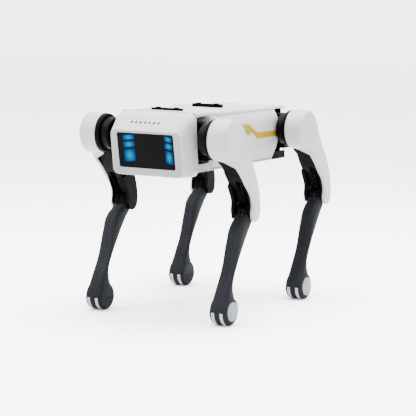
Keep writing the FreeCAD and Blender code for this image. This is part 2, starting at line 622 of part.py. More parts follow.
def display_lights():
    """Glowing blocks on the display: two columns of three, each block lower at its outer edge."""
    pieces = []
    drop = 5.0
    for inner, outer in ((-31.0, -62.5), (55.0, 75.0)):
        for low, high in ((28.5, 41.0), (10.0, 24.5), (-25.5, 5.0)):
            corners = [(inner, low), (outer, low - drop), (outer, high - drop), (inner, high)]
            wire = Part.makePolygon([Vector(x, 0.9, z) for x, z in corners + corners[:1]])
            pieces.append(face_frame(Part.Face(wire).extrude(Vector(0, 0.3, 0))))
    return Part.makeCompound(pieces)


# ---------------------------------------------------------------- write every piece
def leg_pieces(shaft_to_rear):
    """The eleven pieces of one left leg."""
    return {
        "hip_link": hip_link(shaft_to_rear),
        "pitch_motor": pitch_motor(),
        "thigh_cover": thigh_cover(),
        "thigh_frame": thigh_frame(),
        "knee_motor": knee_motor(),
        "knee_crank": knee_crank(),
        "knee_rod": knee_rod(),
        "shin_outer_shell": half_shin((SHIN_SEAM_X, SHIN_OUTER_X), True),
        "shin_inner_shell": half_shin((SHIN_INNER_X, SHIN_SEAM_X), False),
        "foot_pad": foot_pad(),
        "foot_trim": foot_trim(),
    }


def main():
    os.makedirs("parts", exist_ok=True)
    for end_name, hip_y, shaft_to_rear in (("front", FRONT_HIP_Y, True), ("rear", REAR_HIP_Y, False)):
        for piece, shape in leg_pieces(shaft_to_rear).items():
            shape.translate(Vector(0, hip_y, 0))
            save(end_name + "_left_" + piece, shape)
            save(end_name + "_right_" + piece, mirrored(shape))
    panel = side_panel()
    save("side_panel_left", panel)
    save("side_panel_right", mirrored(panel))
    save("side_stripes", side_stripes())
    save("body_top_cover", body_top_cover())
    save("belly_tray", belly_tray())
    save("chassis_frame", chassis_frame())
    save("roll_motors", roll_motors())
    save("battery_pack", battery_pack())
    save("control_board", control_board())
    save("rear_cover", rear_cover())
    save("top_plugs", top_plugs())
    save("payload_rail_front", payload_rail(RAIL_FRONT_Y))
    save("payload_rail_rear", payload_rail(RAIL_REAR_Y))
    save("head_shell", head_shell())
    save("display_panel", display_panel())
    save("display_lights", display_lights())


main()
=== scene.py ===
import json
import math

import bmesh
import bpy
from mathutils import Matrix, Vector


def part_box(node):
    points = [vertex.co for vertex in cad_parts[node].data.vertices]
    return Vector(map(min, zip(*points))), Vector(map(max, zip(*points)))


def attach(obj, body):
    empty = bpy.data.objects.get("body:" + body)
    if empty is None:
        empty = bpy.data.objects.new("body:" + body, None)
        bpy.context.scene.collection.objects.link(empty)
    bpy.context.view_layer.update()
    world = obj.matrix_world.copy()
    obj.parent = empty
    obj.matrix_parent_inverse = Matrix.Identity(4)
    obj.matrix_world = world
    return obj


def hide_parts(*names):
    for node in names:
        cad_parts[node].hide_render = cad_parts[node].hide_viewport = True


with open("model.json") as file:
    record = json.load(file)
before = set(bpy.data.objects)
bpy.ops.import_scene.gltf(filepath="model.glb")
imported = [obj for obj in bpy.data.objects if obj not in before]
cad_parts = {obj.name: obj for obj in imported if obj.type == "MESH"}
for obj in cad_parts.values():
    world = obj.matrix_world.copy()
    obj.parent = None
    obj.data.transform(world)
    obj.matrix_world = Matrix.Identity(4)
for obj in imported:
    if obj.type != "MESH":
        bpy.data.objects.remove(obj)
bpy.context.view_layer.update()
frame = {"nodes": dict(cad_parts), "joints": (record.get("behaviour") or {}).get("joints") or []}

MM = 0.001


# ---------------------------------------------------------------- places read from the frame
def centre(node):
    """Middle of a CAD node's box."""
    low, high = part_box(node)
    return [(low[i] + high[i]) / 2 for i in range(3)]


FRONT_HIP_Y = centre("front_left_pitch_motor")[1]
REAR_HIP_Y = centre("rear_left_pitch_motor")[1]
HIP_Z = centre("front_left_pitch_motor")[2]
COVER_LOW, COVER_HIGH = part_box("front_left_thigh_cover")
COVER_INNER_X = COVER_LOW[0]
COVER_OUTER_X = COVER_HIGH[0]
DRUM_R = FRONT_HIP_Y - COVER_LOW[1]
FOOT_LOW, FOOT_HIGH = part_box("front_left_foot_pad")
FOOT_Y = (FOOT_LOW[1] + FOOT_HIGH[1]) / 2 - FRONT_HIP_Y
FOOT_R = (FOOT_HIGH[1] - FOOT_LOW[1]) / 2
FOOT_Z = FOOT_R  # the foot stands on the ground
SEAM_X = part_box("front_left_shin_outer_shell")[0][0]
KNEE_JOINT = [joint for joint in frame["joints"] if joint["name"] == "front_left_knee"][0]
KNEE_Y = KNEE_JOINT["pos_m"][1] - FRONT_HIP_Y
KNEE_Z = KNEE_JOINT["pos_m"][2]
DECK_LOW, DECK_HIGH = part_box("body_top_cover")
PANEL_LOW, PANEL_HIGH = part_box("side_panel_left")
HEAD_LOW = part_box("head_shell")[0]
SEAM_Z = PANEL_HIGH[2]
BELLY_Z = PANEL_LOW[2]

SIDES = ((1, "left"), (-1, "right"))
LEGS = {
    "front_left": (1, FRONT_HIP_Y),
    "front_right": (-1, FRONT_HIP_Y),
    "rear_left": (1, REAR_HIP_Y),
    "rear_right": (-1, REAR_HIP_Y),
}


# ---------------------------------------------------------------- materials
NOISE_DETAIL = 3.0
NOISE_ROUGHNESS = 0.5
NOISE_RANGE = (0.3, 0.7)  # where most of a noise texture's values lie
DRIFT_SCALE = 9.0
DRIFT_STOPS = (0.35, 0.65)
SMUDGE_SCALE = 35.0
SMUDGE_DETAIL = 5.0
GRAIN_DETAIL = 2.0
GRAIN_DEPTH = 0.2 * MM


def new_material(name):
    """Material with its shader and its texture coordinates."""
    material = bpy.data.materials.new(name)
    material.use_nodes = True
    shader = material.node_tree.nodes["Principled BSDF"]
    coords = material.node_tree.nodes.new("ShaderNodeTexCoord")
    return material, shader, coords


def noise(material, coords, scale, detail=NOISE_DETAIL):
    """Noise texture over the object."""
    node = material.node_tree.nodes.new("ShaderNodeTexNoise")
    node.inputs["Scale"].default_value = scale
    node.inputs["Detail"].default_value = detail
    node.inputs["Roughness"].default_value = NOISE_ROUGHNESS
    material.node_tree.links.new(coords.outputs["Object"], node.inputs["Vector"])
    return node


def ramp(material, source, stops):
    """Colour ramp fed by a factor."""
    node = material.node_tree.nodes.new("ShaderNodeValToRGB")
    elements = node.color_ramp.elements
    while len(elements) < len(stops):
        elements.new(0.5)
    for element, (position, colour) in zip(elements, stops):
        element.position = position
        element.color = (*colour, 1.0)
    material.node_tree.links.new(source, node.inputs["Fac"])
    return node


def map_range(material, source, low, high):
    """Spread a noise value over a range."""
    node = material.node_tree.nodes.new("ShaderNodeMapRange")
    node.inputs["From Min"].default_value = NOISE_RANGE[0]
    node.inputs["From Max"].default_value = NOISE_RANGE[1]
    node.inputs["To Min"].default_value = low
    node.inputs["To Max"].default_value = high
    material.node_tree.links.new(source, node.inputs["Value"])
    return node.outputs["Result"]


def add_bump(material, shader, height, strength, distance):
    """Bump from a height."""
    node = material.node_tree.nodes.new("ShaderNodeBump")
    node.inputs["Strength"].default_value = strength
    node.inputs["Distance"].default_value = distance
    material.node_tree.links.new(height, node.inputs["Height"])
    material.node_tree.links.new(node.outputs["Normal"], shader.inputs["Normal"])


def moulded(name, dark, light, rough, grain_scale, grain_strength, specular=0.5):
    """Moulded or painted surface: soft colour drift, fine grain and uneven gloss."""
    material, shader, coords = new_material(name)
    drift = noise(material, coords, DRIFT_SCALE)
    colours = ramp(material, drift.outputs["Fac"], list(zip(DRIFT_STOPS, (dark, light))))
    material.node_tree.links.new(colours.outputs["Color"], shader.inputs["Base Color"])
    smudge = noise(material, coords, SMUDGE_SCALE, SMUDGE_DETAIL)
    rough_value = map_range(material, smudge.outputs["Fac"], rough[0], rough[1])
    material.node_tree.links.new(rough_value, shader.inputs["Roughness"])
    grain = noise(material, coords, grain_scale, GRAIN_DETAIL)
    add_bump(material, shader, grain.outputs["Fac"], grain_strength, GRAIN_DEPTH)
    shader.inputs["Specular IOR Level"].default_value = specular
    return material


def glow(name):
    """Lit block: bright cyan in the middle, deep blue at its edges, and no reflections that would pale it."""
    material, shader, coords = new_material(name)
    tree = material.node_tree
    centred = tree.nodes.new("ShaderNodeVectorMath")
    centred.operation = "SUBTRACT"
    centred.inputs[1].default_value = (0.5, 0.5, 0.5)
    tree.links.new(coords.outputs["Generated"], centred.inputs[0])
    split = tree.nodes.new("ShaderNodeSeparateXYZ")
    tree.links.new(centred.outputs["Vector"], split.inputs["Vector"])
    flat = tree.nodes.new("ShaderNodeCombineXYZ")
    tree.links.new(split.outputs["X"], flat.inputs["X"])
    tree.links.new(split.outputs["Z"], flat.inputs["Z"])
    length = tree.nodes.new("ShaderNodeVectorMath")
    length.operation = "LENGTH"
    tree.links.new(flat.outputs["Vector"], length.inputs[0])
    colours = ramp(material, length.outputs["Value"],
                   [(0.0, (0.0, 0.85, 1.0)), (0.25, (0.0, 0.42, 1.0)), (0.55, (0.0, 0.09, 0.48))])
    tree.links.new(colours.outputs["Color"], shader.inputs["Emission Color"])
    shader.inputs["Base Color"].default_value = (0.0, 0.0, 0.0, 1.0)
    shader.inputs["Specular IOR Level"].default_value = 0.0
    shader.inputs["Emission Strength"].default_value = 0.66
    shader.inputs["Roughness"].default_value = 0.3
    return material


def grey(value, blue=None):
    """Neutral colour, or one with a blue of its own."""
    return value, value, value if blue is None else blue


WHITE = moulded("white_shell", grey(0.225, 0.234), grey(0.25, 0.259), (0.38, 0.5), 1400.0, 0.05, specular=0.3)
# The face frame is the white shell's plastic in a darker grey: painted shade on the face, which tilts down
# away from the top light.
SHADED_FACE_WHITE = moulded("face_frame_painted_shade", grey(0.145, 0.153), grey(0.165, 0.173), (0.4, 0.5), 1400.0, 0.05,
                specular=0.2)
BLACK = moulded("black_structure", grey(0.0002), grey(0.0007), (0.42, 0.6), 900.0, 0.25, specular=0.02)
MOTOR = moulded("motor_housing", grey(0.0003), grey(0.0010, 0.0011), (0.35, 0.5), 500.0, 0.1, specular=0.03)
SLATE = moulded("dark_slate", (0.0035, 0.004, 0.0052), (0.006, 0.0067, 0.0084), (0.5, 0.65), 1100.0, 0.3,
                specular=0.05)
RUBBER = moulded("foot_rubber", (0.004, 0.0045, 0.0055), (0.007, 0.0075, 0.009), (0.6, 0.8), 700.0, 0.4,
                 specular=0.05)
PALE = moulded("pale_trim", (0.24, 0.25, 0.27), (0.30, 0.31, 0.33), (0.4, 0.55), 900.0, 0.1, specular=0.2)
CAP = moulded("foot_cap", (0.09, 0.10, 0.125), (0.12, 0.135, 0.16), (0.35, 0.5), 900.0, 0.1, specular=0.2)
GLASS = moulded("display_glass", grey(0.0004), grey(0.0012), (0.3, 0.4), 60.0, 0.01, specular=0.02)
YELLOW = moulded("yellow_stripe", (0.150, 0.105, 0.0004), (0.180, 0.125, 0.0006), (0.4, 0.5), 900.0, 0.05,
                 specular=0.1)
INK = moulded("black_print", grey(0.001), grey(0.0025), (0.35, 0.5), 900.0, 0.05, specular=0.02)
TEAL = moulded("teal_dot", (0.005, 0.10, 0.065), (0.008, 0.13, 0.085), (0.3, 0.4), 900.0, 0.05, specular=0.1)
CASE = moulded("battery_case", (0.02, 0.024, 0.03), (0.03, 0.034, 0.04), (0.5, 0.65), 900.0, 0.2)
BOARD = moulded("circuit_board", (0.01, 0.09, 0.035), (0.015, 0.13, 0.05), (0.35, 0.5), 300.0, 0.1)
GLOW = glow("display_light")

CAD_MATERIALS = {
    "hip_link": BLACK,
    "pitch_motor": MOTOR,
    "thigh_frame": BLACK,
    "knee_motor": MOTOR,
    "knee_crank": MOTOR,
    "knee_rod": MOTOR,
    "chassis_frame": BLACK,
    "roll_motors": MOTOR,
    "battery_pack": CASE,
    "control_board": BOARD,
}
EASED_NODES = ("hip_link", "thigh_frame")
EASED_EDGE = 0.7 * MM
EASED_ANGLE = math.radians(40.0)


def dress_cad_nodes():
    """Give each CAD node that stays its own finish, and ease the sharp edges of those that show most."""
    for name, node in frame["nodes"].items():
        for ending, material in CAD_MATERIALS.items():
            if name.endswith(ending):
                node.data.materials.clear()
                node.data.materials.append(material)
                if ending in EASED_NODES:
                    bevel = node.modifiers.new("edge", "BEVEL")
                    bevel.width = EASED_EDGE
                    bevel.segments = 2
                    bevel.limit_method = "ANGLE"
                    bevel.angle_limit = EASED_ANGLE


# ---------------------------------------------------------------- mesh helpers
WELD = 0.02 * MM
SHARP_ANGLE = math.radians(32.0)


def clamp(value):
    """A value kept from 0 to 1."""
    return min(1.0, max(0.0, value))


def mesh_of(name, points, faces):
    """Mesh from points and faces."""
    mesh = bpy.data.meshes.new(name)
    mesh.from_pydata([tuple(point) for point in points], [], faces)
    return mesh


def repair_mesh(mesh, weld=None):
    """Weld doubled points, where a distance is given, and turn the faces the same way round."""
    repair = bmesh.new()
    repair.from_mesh(mesh)
    if weld:
        bmesh.ops.remove_doubles(repair, verts=repair.verts, dist=weld)
    bmesh.ops.recalc_face_normals(repair, faces=repair.faces)
    repair.to_mesh(mesh)
    repair.free()


def make_piece(name, points, faces, material, body, replaced=(), slot=None, smooth=True):
    """Mesh object from points and faces, finished and riding on a body."""
    return finish_piece(name, mesh_of(name, points, faces), material, body, replaced, smooth)


def finish_piece(name, mesh, material, body, replaced=(), smooth=True):
    """Turn a mesh into a piece: even normals, a material, a body to ride on and the nodes it stands for."""
    repair_mesh(mesh, WELD)
    for polygon in mesh.polygons:
        polygon.use_smooth = smooth
    mesh.materials.clear()
    mesh.materials.append(material)
    if smooth:
        mesh.set_sharp_from_angle(angle=SHARP_ANGLE)
    piece = bpy.data.objects.new(name, mesh)
    bpy.context.collection.objects.link(piece)
    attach(piece, body)
    if replaced:
        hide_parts(*replaced)
    return piece


def loft(rings, cap_start=True, cap_end=True):
    """Points and faces of a skin over rings that have equal numbers of points."""
    count = len(rings[0])
    points = [point for ring in rings for point in ring]
    faces = []
    for row in range(len(rings) - 1):
        for i in range(count):
            j = (i + 1) % count
            faces.append((row * count + i, row * count + j, (row + 1) * count + j, (row + 1) * count + i))
    if cap_start:
        faces.append(tuple(reversed(range(count))))
    if cap_end:
        faces.append(tuple(range((len(rings) - 1) * count, len(rings) * count)))
    return points, faces


def smooth_path(points, steps):
    """Open smooth curve through 2-D points (a Catmull-Rom spline)."""
    result = []
    extended = [points[0]] + list(points) + [points[-1]]
    for i in range(1, len(extended) - 2):
        p0, p1, p2, p3 = (Vector(extended[k]) for k in (i - 1, i, i + 1, i + 2))
        for step in range(steps):
            t = step / steps
            a = 2 * p1
            b = (p2 - p0) * t
            c = (2 * p0 - 5 * p1 + 4 * p2 - p3) * t * t
            d = (3 * p1 - p0 - 3 * p2 + p3) * t ** 3
            result.append((a + b + c + d) / 2)
    result.append(Vector(points[-1]))
    return result


def rounded_rectangle(half_width, low, high, radius, segments=6):
    """(across, up) points of a rounded rectangle."""
    result = []
    corners = [(half_width - radius, high - radius, 0), (-half_width + radius, high - radius, 90),
               (-half_width + radius, low + radius, 180), (half_width - radius, low + radius, 270)]
    for across, up, start in corners:
        for step in range(segments + 1):
            angle = math.radians(start + 90 * step / segments)
            result.append((across + radius * math.cos(angle), up + radius * math.sin(angle)))
    return result


def rounded_block(low, high, bevel, segments=3):
    """Mesh of a box with rounded edges."""
    shape = bmesh.new()
    bmesh.ops.create_cube(shape, size=1.0)
    size = [high[i] - low[i] for i in range(3)]
    middle = [(high[i] + low[i]) / 2 for i in range(3)]
    bmesh.ops.scale(shape, vec=size, verts=shape.verts)
    bmesh.ops.translate(shape, vec=middle, verts=shape.verts)
    bmesh.ops.bevel(shape, geom=shape.edges, offset=bevel, segments=segments, profile=0.5, affect="EDGES")
    mesh = bpy.data.meshes.new("block")
    shape.to_mesh(mesh)
    shape.free()
    return mesh


def lathe(profile, axis_point, axis, start=0.0, turn=360.0, steps=64):
    """Turn (radius, along) points about an axis along X or Z, through a whole or part turn in degrees."""
    closed = turn > 359.0
    rows = steps if closed else steps + 1
    points = []
    for row in range(rows):
        angle = math.radians(start + turn * row / steps)
        for radius, along in profile:
            first = axis_point[0] + radius * math.cos(angle)
            second = axis_point[1] + radius * math.sin(angle)
            points.append((along, first, second) if axis == "X" else (first, second, along))
    count = len(profile)
    faces = []
    for row in range(rows if closed else rows - 1):
        this = row * count
        following = (row + 1) % rows * count
        for i in range(count - 1):
            faces.append((this + i, this + i + 1, following + i + 1, following + i))
    if not closed:
        faces.append(tuple(range(count)))
        faces.append(tuple(range((rows - 1) * count, rows * count)))
    return points, faces


def for_each_leg(name, points, faces, material, body, replaced=(), slot=None):
    """Place a left-leg shape, drawn with its hip at Y = 0, on all four legs."""
    for leg, (side, hip_y) in LEGS.items():
        placed = [(side * p[0], p[1] + hip_y, p[2]) for p in points]
        make_piece(leg + "_" + name, placed, faces, material, leg + "_" + body,
                   [leg + "_" + node for node in replaced], slot)


def mesh_data(mesh):
    """Points and faces of a mesh."""
    return [tuple(v.co) for v in mesh.vertices], [tuple(p.vertices) for p in mesh.polygons]


# ---------------------------------------------------------------- thigh
# The drum's rim, in degrees: from the plate's rear edge over the top and the front to the plate's front edge.
DRUM_START = 28.0
DRUM_TURN = 234.0
DRUM_STEPS = 60
# The plate's edge from the front of the drum, round the knee and up to the rear of the drum, as millimetres
# behind the hip and above the ground.
PLATE_EDGE = [
    (8, 395), (20, 381), (43, 361), (66, 336), (91, 309), (100, 284), (97, 262), (103, 247), (118, 241.5),
    (132, 250), (137.5, 274), (129.5, 320), (106, 371), (71, 423),
]
PLATE_STEPS = 7
PLATE_DEPTH = 9.5 * MM
COVER_WALL = 3 * MM
COVER_FLOOR = 4 * MM
# The drum's depth falls to the plate's along two slopes: one below its front and one down its rear.
SLOPE_SPLIT_Y = 60 * MM
SLOPE_SPLIT_Z = 410 * MM
FRONT_SLOPE_END_Z = 380 * MM
REAR_SLOPE_TOP_Z = 474 * MM
REAR_SLOPE_FALL = 56 * MM
# The outer edge's radius in millimetres: at the knee, and what the drum adds to it over a rise.
KNEE_ROUNDING = 5.0
DRUM_EXTRA_ROUNDING = 6.0
ROUNDING_START_Z = 375 * MM
ROUNDING_RISE = 45 * MM
ROUNDING_STEPS = 7
# (radius, depth below the outer face) of round details on the cover, in millimetres.
KNEE_CAP = ((0.0, 0.9), (6.5, 0.9), (7.2, 0.1), (8.6, 0.1), (9.2, 0.8))
HIP_DOT = ((0.0, 0.0), (2.2, 0.0), (2.6, 0.6))


def thigh_outline():
    """Closed side outline of the thigh cover, with whether each point is on the drum's rim."""
    rim = []
    for step in range(DRUM_STEPS + 1):
        angle = math.radians(DRUM_START + DRUM_TURN * step / DRUM_STEPS)
        rim.append(Vector((DRUM_R * math.cos(angle), HIP_Z + DRUM_R * math.sin(angle))))
    edge = [(y * MM, z * MM) for y, z in PLATE_EDGE]
    path = smooth_path([rim[-1]] + edge + [rim[0]], PLATE_STEPS)
    return [(point, True) for point in rim] + [(point, False) for point in path[1:-1]]


def outward_normals(points):
    """2-D normals that point out of a closed outline drawn anticlockwise."""
    normals = []
    for i in range(len(points)):
        along = points[(i + 1) % len(points)] - points[i - 1]
        normals.append(Vector((along[1], -along[0])).normalized())
    return normals


def cover_inner_x(point, on_drum):
    """X of the cover's inner edge at a point of its outline."""
    plate_inner_x = COVER_OUTER_X - PLATE_DEPTH
    drum_low = HIP_Z - DRUM_R
    if on_drum:
        part = 0.0
    elif point[0] < SLOPE_SPLIT_Y and point[1] < SLOPE_SPLIT_Z:
        part = clamp((drum_low + 1 * MM - point[1]) / (drum_low - FRONT_SLOPE_END_Z))
    elif point[1] > SLOPE_SPLIT_Z:
        part = clamp((REAR_SLOPE_TOP_Z - point[1]) / REAR_SLOPE_FALL)
    else:
        part = 1.0
    return COVER_INNER_X + part * (plate_inner_x - COVER_INNER_X)


def cover_ring(points, normals, offsets, xs):
    """Outline moved along its normals, with an X for each point."""
    return [(x, point[0] + normal[0] * offset, point[1] + normal[1] * offset)
            for point, normal, offset, x in zip(points, normals, offsets, xs)]


def cover_disc(profile, place, steps):
    """Round detail on the cover's outer face."""
    turned = [(radius * MM, COVER_OUTER_X - depth * MM) for radius, depth in profile]
    return lathe(turned, place, "X", steps=steps)


def build_thigh_covers():
    """White cover: drum over the motor, then a plate that tapers to the knee."""
    outline = thigh_outline()
    points = [point for point, _ in outline]
    normals = outward_normals(points)
    inner_x = [cover_inner_x(point, on_drum) for point, on_drum in outline]
    count = len(points)
    rings = [
        cover_ring(points, normals, [-COVER_WALL] * count, [COVER_OUTER_X - COVER_FLOOR] * count),
        cover_ring(points, normals, [-COVER_WALL] * count, [x + 0.5 * MM for x in inner_x]),
        cover_ring(points, normals, [-COVER_WALL + 0.6 * MM] * count, inner_x),
        cover_ring(points, normals, [-0.8 * MM] * count, inner_x),
        cover_ring(points, normals, [0.0] * count, [x + 0.8 * MM for x in inner_x]),
    ]
    on_drum_parts = [clamp((point[1] - ROUNDING_START_Z) / ROUNDING_RISE) for point in points]
    radii = [(KNEE_ROUNDING + DRUM_EXTRA_ROUNDING * part) * MM for part in on_drum_parts]
    for step in range(ROUNDING_STEPS + 1):
        angle = math.radians(90.0 * step / ROUNDING_STEPS)
        offsets = [-radius * (1 - math.cos(angle)) for radius in radii]
        xs = [COVER_OUTER_X - radius * (1 - math.sin(angle)) for radius in radii]
        rings.append(cover_ring(points, normals, offsets, xs))
    for_each_leg("thigh_cover_skin", *loft(rings), WHITE, "thigh", ["thigh_cover"], "white_shell")
    cap = cover_disc(KNEE_CAP, (KNEE_Y + 5 * MM, KNEE_Z - 3 * MM), 40)
    for_each_leg("knee_cap", *cap, WHITE, "thigh", (), "white_shell")
    dot = cover_disc(HIP_DOT, (46 * MM, HIP_Z + 1 * MM), 24)
    for_each_leg("thigh_dot", *dot, TEAL, "thigh", (), "pale_trim")


# ---------------------------------------------------------------- shin and foot
# Each station is (front Y, front Z, rear Y, rear Z, half width) in millimetres: Y behind the hip pitch axis
# and Z above the ground.
SHIN_STATIONS = [
    (102, 286.5, 121, 287, 16), (96, 281, 127, 283, 18.5), (91.5, 270, 132, 271, 19.4),
    (90.5, 261, 131, 258, 19.6), (79, 250, 125, 246, 19.8), (67, 242, 115, 236, 19.8),
    (55, 229, 104, 226, 19.8), (48, 217, 95, 215, 19.8), (44, 201, 82, 200, 19.8),
    (38, 183, 69, 182, 19.6), (32, 160, 53, 160, 19.0), (26, 140, 41, 142, 18.6),
    (17, 120, 31, 124, 18.4), (6, 103, 25, 108, 18.6), (-3, 89, 23, 93, 19.2),
    (-10, 76, 25, 79, 20.4), (-17, 64, 29, 67, 22.0), (-22, 55, 33, 58, 23.2), (-25, 48, 36, 50, 23.6),
]
STATION_STEPS = 3
# The black knee hub takes the first few spaces between stations, drawn in by these millimetres.
HUB_STATIONS = 3
HUB_INSET = 0.4
HUB_SLIMMER = 0.5
SEAM_GAP = 0.25 * MM
SEAM_DRAWN_IN = 0.03
SECTION_STEPS = 14
SECTION_SQUARENESS = 3.6  # exponent of the rounded section: 2 is an ellipse
# Beside the thigh cover's plate the outer half is narrower; below this height it widens again.
OUTER_HALF_WIDTH = 17.0 * MM
OUTER_WIDENING_Z = 243 * MM
OUTER_WIDENING = 0.2
SLOT_R = 27 * MM
SLOT_HALF_WIDTH = 4 * MM


def smooth_stations(stations):
    """More stations between the given ones, on smooth curves."""
    fronts = smooth_path([(s[0], s[1]) for s in stations], STATION_STEPS)
    rears = smooth_path([(s[2], s[3]) for s in stations], STATION_STEPS)
    widths = smooth_path([(s[4], 0.0) for s in stations], STATION_STEPS)
    return [(f[0], f[1], r[0], r[1], w[0]) for f, r, w in zip(fronts, rears, widths)]


def half_ring(station, outer):
    """Half of a rounded cross section, from the front seam round one side to the rear seam."""
    front_y, front_z, rear_y, rear_z, half_width = (value * MM for value in station)
    if outer:
        widening = max(0.0, OUTER_WIDENING_Z - rear_z) * OUTER_WIDENING
        half_width = min(half_width, OUTER_HALF_WIDTH + widening)
    middle = Vector(((front_y + rear_y) / 2, (front_z + rear_z) / 2))
    reach = Vector((front_y, front_z)) - middle
    power = 2.0 / SECTION_SQUARENESS
    ring = []
    for step in range(SECTION_STEPS + 1):
        angle = math.pi * step / SECTION_STEPS
        along = math.copysign(abs(math.cos(angle)) ** power, math.cos(angle))
        across = abs(math.sin(angle)) ** power
        at_seam = 1.0 - SEAM_DRAWN_IN if step in (0, SECTION_STEPS) else 1.0
        place = middle + reach * along * at_seam
        x = SEAM_X + (across * half_width + SEAM_GAP) * (1 if outer else -1)
        ring.append((x, place[0], place[1]))
    return ring


def cut_knee_slot(mesh):
    """Cut the slot for the push rod out of the top of a shin half."""
    low_x = SEAM_X - SLOT_HALF_WIDTH
    high_x = SEAM_X + SLOT_HALF_WIDTH
    profile = [(0.0, low_x), (SLOT_R, low_x), (SLOT_R, high_x), (0.0, high_x)]
    cutter_mesh = mesh_of("cutter", *lathe(profile, (KNEE_Y, KNEE_Z), "X", steps=48))
    repair_mesh(cutter_mesh, 0.01 * MM)
    cutter = bpy.data.objects.new("cutter", cutter_mesh)
    target = bpy.data.objects.new("target", mesh)
    for item in (cutter, target):
        bpy.context.collection.objects.link(item)
    cut = target.modifiers.new("slot", "BOOLEAN")
    cut.object = cutter
    cut.operation = "DIFFERENCE"
    cut.solver = "EXACT"
    bpy.context.view_layer.update()
    result = bpy.data.meshes.new_from_object(target.evaluated_get(bpy.context.evaluated_depsgraph_get()))
    bpy.data.objects.remove(cutter)
    bpy.data.objects.remove(target)
    return result


def build_shins():
    """Two half shells a leg, with the seam between them, each under a black half of the knee hub."""
    columns = smooth_stations(SHIN_STATIONS)
    hub_end = STATION_STEPS * HUB_STATIONS
    hub = [(front_y + HUB_INSET, front_z, rear_y - HUB_INSET, rear_z, half_width - HUB_SLIMMER)
           for front_y, front_z, rear_y, rear_z, half_width in columns[:hub_end + 1]]
    for outer, node in ((True, "shin_outer_shell"), (False, "shin_inner_shell")):
        for part, chosen, material, replaced, slot in (
                ("_hub", hub, BLACK, (), "black_structure"),
                ("_skin", columns[hub_end:], SLATE, [node], "dark_slate")):
            mesh = mesh_of(node, *loft([half_ring(column, outer) for column in chosen]))
            repair_mesh(mesh)
            points, faces = mesh_data(cut_knee_slot(mesh))
            for_each_leg(node + part, points, faces, material, "shin", replaced, slot)


FOOT_EDGE = 9 * MM
FOOT_EDGE_STEPS = 6
FOOT_TOP_INSET = 0.3 * MM
STRIP_OFFSETS = (("inner", -11.5 * MM), ("outer", 11.5 * MM))
STRIP_HALF_WIDTH = 4.5 * MM
STRIP_DEPTH = 3 * MM
STRIP_INSET = 0.3 * MM
STRIP_EDGE = 0.6 * MM


def foot_profile(radius, edge, x_low, x_high):
    """(radius, along) profile of a round foot with rounded rims."""
    angles = [math.radians(90.0 * step / FOOT_EDGE_STEPS) for step in range(FOOT_EDGE_STEPS + 1)]
    profile = [(0.0, x_low)]
    for angle in angles:
        profile.append((radius - edge + edge * math.sin(angle), x_low + edge - edge * math.cos(angle)))
    for angle in angles:
        profile.append((radius - edge + edge * math.cos(angle), x_high - edge + edge * math.sin(angle)))
    profile.append((0.0, x_high))
    return profile


def build_feet():
    """Round feet: slate top, rubber sole with two pale strips, and a pale cap outside."""
    low_x, high_x = FOOT_LOW[0], FOOT_HIGH[0]
    place = (FOOT_Y, FOOT_Z)
    inset = FOOT_TOP_INSET
    top_profile = foot_profile(FOOT_R - inset, FOOT_EDGE, low_x + inset, high_x - inset)
    upper = lathe(top_profile, place, "X", 1.0, 178.0, 48)
    for_each_leg("foot_top", *upper, SLATE, "shin", (), "dark_slate")
    sole = lathe(foot_profile(FOOT_R, FOOT_EDGE, low_x, high_x), place, "X", 180.0, 180.0, 48)
    for_each_leg("foot_sole", *sole, RUBBER, "shin", ["foot_pad"], "foot_rubber")
    strip_mid = (low_x + high_x) / 2
    for label, offset in STRIP_OFFSETS:
        x_low = strip_mid + offset - STRIP_HALF_WIDTH
        x_high = strip_mid + offset + STRIP_HALF_WIDTH
        profile = [
            (FOOT_R - STRIP_DEPTH, x_low), (FOOT_R - STRIP_INSET, x_low), (FOOT_R, x_low + STRIP_EDGE),
            (FOOT_R, x_high - STRIP_EDGE), (FOOT_R - STRIP_INSET, x_high), (FOOT_R - STRIP_DEPTH, x_high),
        ]
        strip = lathe(profile, place, "X", 181.0, 118.0, 40)
        for_each_leg("foot_strip_" + label, *strip, PALE, "shin", (), "pale_trim")
    cap = [(0.0, high_x + 1.5 * MM), (22.0 * MM, high_x + 1.5 * MM), (23.6 * MM, high_x + 0.9 * MM),
           (24.0 * MM, high_x - 1 * MM)]
    for_each_leg("foot_cap", *lathe(cap, place, "X", steps=56), CAP, "shin", ["foot_trim"], "pale_trim")


# ---------------------------------------------------------------- body
DECK_STEPS = 60
DECK_EDGE = 7 * MM
DECK_EDGE_STEPS = 6
DECK_WALL = 3 * MM
DECK_FRONT_EXTRA = 15 * MM
DECK_TOP_GAP = 1.2 * MM
DECK_FALL = 7 * MM
# The deck is drawn in over the hips, most at these places.
WAIST_MIDDLES = (FRONT_HIP_Y + 45 * MM, REAR_HIP_Y + 40 * MM)
WAIST_REACH = 44 * MM
WAIST_DEPTH = 14 * MM

PANEL_LEAST_X = 104 * MM
PANEL_STEPS = 48
PANEL_FRONT_LENGTH = 38 * MM
PANEL_FRONT_POWER = 2.2
PANEL_REAR_LENGTH = 4 * MM
PANEL_REAR_STEPS = 6
PANEL_REAR_LOSS = 0.1
PANEL_GAP = 0.4 * MM
PANEL_LIP_X = 46 * MM
PANEL_CURVE_STEPS = 6

INLAY_ROWS = 8
INLAY_THICKNESS = 0.5 * MM
# Edges of the marks as matching points of the low and the high edge: (behind a start, above the ground), in
# millimetres.
BADGE_EDGES = [((16.0, 444.5), (0.0, 472.0)), ((37.0, 443.0), (39.0, 470.0))]
LINK_EDGES = [((37.5, 453.0), (38.5, 466.0)), ((74.0, 431.0), (71.0, 448.0)), ((80.0, 430.0), (78.0, 446.5))]
BAND_EDGES = [((0.0, 430.5), (0.0, 446.0)), ((9.0, 430.5), (9.0, 446.0))]

